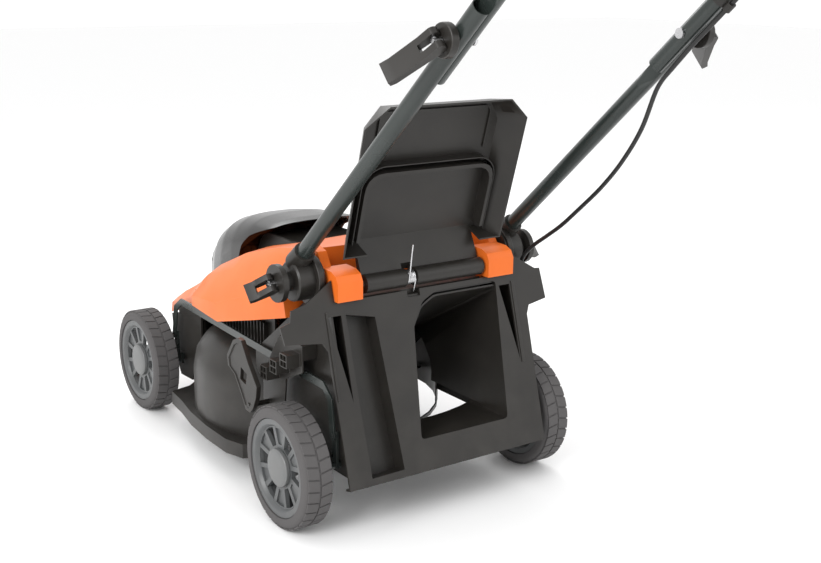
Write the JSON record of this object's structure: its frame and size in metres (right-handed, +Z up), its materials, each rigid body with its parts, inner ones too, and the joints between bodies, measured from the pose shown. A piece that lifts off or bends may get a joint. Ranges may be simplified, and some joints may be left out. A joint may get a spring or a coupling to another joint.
{
  "type": "walk-behind rotary lawn mower",
  "caption": "Cordless walk-behind rotary lawn mower with folding handle, raised rear discharge flap, battery hood, height lever and moulded wheels.",
  "frame": {"origin": "on the ground below the middle of the whole machine's bounding box", "axes": "+Z up, +Y the way the mower travels, +X to the operator's right"},
  "size_m": [0.523, 1.3772, 1.0729],
  "materials": {
    "orange_plastic": "satin",
    "black_plastic": "fine-grained",
    "gloss_black": "polished",
    "tyre_rubber": "matt",
    "rim_grey": "satin",
    "cap_grey": "satin",
    "tube_paint": "satin powder coat",
    "zinc_steel": "zinc plated",
    "dark_steel": "blackened",
    "cable_black": "matt"
  },
  "bodies": {
    "mower": {"deck_shell": "black_plastic", "rear_panel": "black_plastic", "discharge_chute": "black_plastic", "top_cover": "orange_plastic", "battery_tray": "black_plastic", "motor_housing": "black_plastic", "control_board": "dark_steel", "pivot_boss_left": "black_plastic", "pivot_boss_right": "black_plastic", "cable_gland": "black_plastic", "flap_rod": "zinc_steel", "height_quadrant": "black_plastic"},
    "rear_carrier": {"rear_axle": "zinc_steel"},
    "front_carrier": {"front_axle": "zinc_steel"},
    "height_link": {"link_bar": "tube_paint"},
    "height_lever": {"height_lever": "black_plastic"},
    "blade": {"motor_shaft": "zinc_steel", "blade_fan": "black_plastic", "blade": "dark_steel", "blade_bolt": "zinc_steel"},
    "battery_hood": {"battery_hood": "gloss_black"},
    "battery_pack_left": {"battery_pack_left": "black_plastic"},
    "battery_pack_right": {"battery_pack_right": "black_plastic"},
    "safety_key": {"safety_key": "orange_plastic"},
    "discharge_flap": {"discharge_flap": "black_plastic", "flap_spring": "zinc_steel"},
    "lower_handle": {"lower_tube_left": "tube_paint", "lower_tube_right": "tube_paint", "pivot_socket_left": "black_plastic", "pivot_socket_right": "black_plastic", "clamp_seat_left": "black_plastic", "clamp_seat_right": "black_plastic", "pivot_bolt_left": "zinc_steel", "pivot_bolt_right": "zinc_steel", "clamp_bolt_left": "zinc_steel", "clamp_bolt_right": "zinc_steel", "control_cable_lower": "cable_black"},
    "upper_handle": {"upper_handle_tube": "tube_paint", "grip_sleeve": "tyre_rubber", "switch_box": "black_plastic", "cable_clip": "black_plastic", "control_cable_upper": "cable_black"},
    "bail_lever": {"bail_lever": "zinc_steel"},
    "start_button": {"start_button": "orange_plastic"},
    "wheel_rear_left": {"tyre_rear_left": "tyre_rubber", "rim_rear_left": "rim_grey", "hub_cap_rear_left": "cap_grey"},
    "wheel_rear_right": {"tyre_rear_right": "tyre_rubber", "rim_rear_right": "rim_grey", "hub_cap_rear_right": "cap_grey"},
    "wheel_front_left": {"tyre_front_left": "tyre_rubber", "rim_front_left": "rim_grey", "hub_cap_front_left": "cap_grey"},
    "wheel_front_right": {"tyre_front_right": "tyre_rubber", "rim_front_right": "rim_grey", "hub_cap_front_right": "cap_grey"},
    "lower_cam_left": {"lower_cam_lever_left": "black_plastic"},
    "lower_cam_right": {"lower_cam_lever_right": "black_plastic"},
    "upper_cam_left": {"upper_cam_lever_left": "black_plastic"},
    "upper_cam_right": {"upper_cam_lever_right": "black_plastic"}
  },
  "joints": [
    {"name": "height_lever_hinge", "type": "hinge", "parent": "mower", "child": "height_lever", "pos_m": [-0.2215, 0.13406, 0.15], "axis": [1, 0, 0], "range_deg": [-15, 8]},
    {"name": "rear_height_hinge", "type": "hinge", "parent": "mower", "child": "rear_carrier", "pos_m": [0, -0.02494, 0.1], "axis": [1, 0, 0], "range_deg": [-25, 14]},
    {"name": "front_height_hinge", "type": "hinge", "parent": "mower", "child": "front_carrier", "pos_m": [0, 0.54356, 0.1], "axis": [1, 0, 0], "range_deg": [-25, 14]},
    {"name": "link_bar_pin", "type": "hinge", "parent": "rear_carrier", "child": "height_link", "pos_m": [0, -0.02494, 0.145], "axis": [1, 0, 0], "range_deg": [-14, 25]},
    {"name": "wheel_rear_left_spin", "type": "hinge", "parent": "rear_carrier", "child": "wheel_rear_left", "pos_m": [-0.21625, 0.03006, 0.09], "axis": [1, 0, 0], "continuous": true},
    {"name": "wheel_rear_right_spin", "type": "hinge", "parent": "rear_carrier", "child": "wheel_rear_right", "pos_m": [0.21625, 0.03006, 0.09], "axis": [1, 0, 0], "continuous": true},
    {"name": "wheel_front_left_spin", "type": "hinge", "parent": "front_carrier", "child": "wheel_front_left", "pos_m": [-0.1849, 0.59856, 0.09], "axis": [1, 0, 0], "continuous": true},
    {"name": "wheel_front_right_spin", "type": "hinge", "parent": "front_carrier", "child": "wheel_front_right", "pos_m": [0.1849, 0.59856, 0.09], "axis": [1, 0, 0], "continuous": true},
    {"name": "blade_spin", "type": "hinge", "parent": "mower", "child": "blade", "pos_m": [0, 0.31406, 0.078], "axis": [0, 0, 1], "continuous": true},
    {"name": "hood_hinge", "type": "hinge", "parent": "mower", "child": "battery_hood", "pos_m": [0, 0.59006, 0.24], "axis": [-1, 0, 0], "range_deg": [0, 75]},
    {"name": "battery_left_slide", "type": "slide", "parent": "mower", "child": "battery_pack_left", "axis": [0, 0, 1], "range_m": [0, 0.012]},
    {"name": "battery_right_slide", "type": "slide", "parent": "mower", "child": "battery_pack_right", "axis": [0, 0, 1], "range_m": [0, 0.012]},
    {"name": "safety_key_slide", "type": "slide", "parent": "mower", "child": "safety_key", "axis": [0, 0, 1], "range_m": [0, 0.05]},
    {"name": "flap_hinge", "type": "hinge", "parent": "mower", "child": "discharge_flap", "pos_m": [0, 0.00856, 0.346], "axis": [1, 0, 0], "range_deg": [0, 148], "deforming": ["flap_spring"]},
    {"name": "handle_fold", "type": "hinge", "parent": "mower", "child": "lower_handle", "pos_m": [0, 0.04806, 0.355], "axis": [-1, 0, 0], "range_deg": [0, 96], "deforming": ["control_cable_lower"]},
    {"name": "upper_handle_fold", "type": "hinge", "parent": "lower_handle", "child": "upper_handle", "pos_m": [0, -0.30836, 0.70353], "axis": [1, 0, 0], "range_deg": [0, 145], "deforming": ["control_cable_upper"]},
    {"name": "bail_hinge", "type": "hinge", "parent": "upper_handle", "child": "bail_lever", "pos_m": [0, -0.58333, 0.95111], "axis": [1, 0, 0], "range_deg": [0, 31], "stiffness_Nm_per_rad": 0.8, "springref_deg": -34.38},
    {"name": "start_button_slide", "type": "slide", "parent": "upper_handle", "child": "start_button", "axis": [0, -0.6691, -0.7431], "range_m": [0, 0.003], "stiffness_N_per_m": 800, "springref_m": -0.002},
    {"name": "lower_cam_hinge_left", "type": "hinge", "parent": "lower_handle", "child": "lower_cam_left", "pos_m": [-0.2316, 0.04806, 0.355], "axis": [0, 0.6691, 0.7431], "range_deg": [0, 100]},
    {"name": "upper_cam_hinge_left", "type": "hinge", "parent": "lower_handle", "child": "upper_cam_left", "pos_m": [-0.2161, -0.30836, 0.70353], "axis": [0, 0.6691, 0.7431], "range_deg": [0, 100]},
    {"name": "lower_cam_hinge_right", "type": "hinge", "parent": "lower_handle", "child": "lower_cam_right", "pos_m": [0.2316, 0.04806, 0.355], "axis": [0, -0.6691, -0.7431], "range_deg": [0, 100]},
    {"name": "upper_cam_hinge_right", "type": "hinge", "parent": "lower_handle", "child": "upper_cam_right", "pos_m": [0.2161, -0.30836, 0.70353], "axis": [0, -0.6691, -0.7431], "range_deg": [0, 100]}
  ],
  "couplings": [
    {"joint": "rear_height_hinge", "follows": "height_lever_hinge", "ratio": 1.6},
    {"joint": "front_height_hinge", "follows": "height_lever_hinge", "ratio": 1.6},
    {"joint": "link_bar_pin", "follows": "height_lever_hinge", "ratio": -1.6}
  ]
}
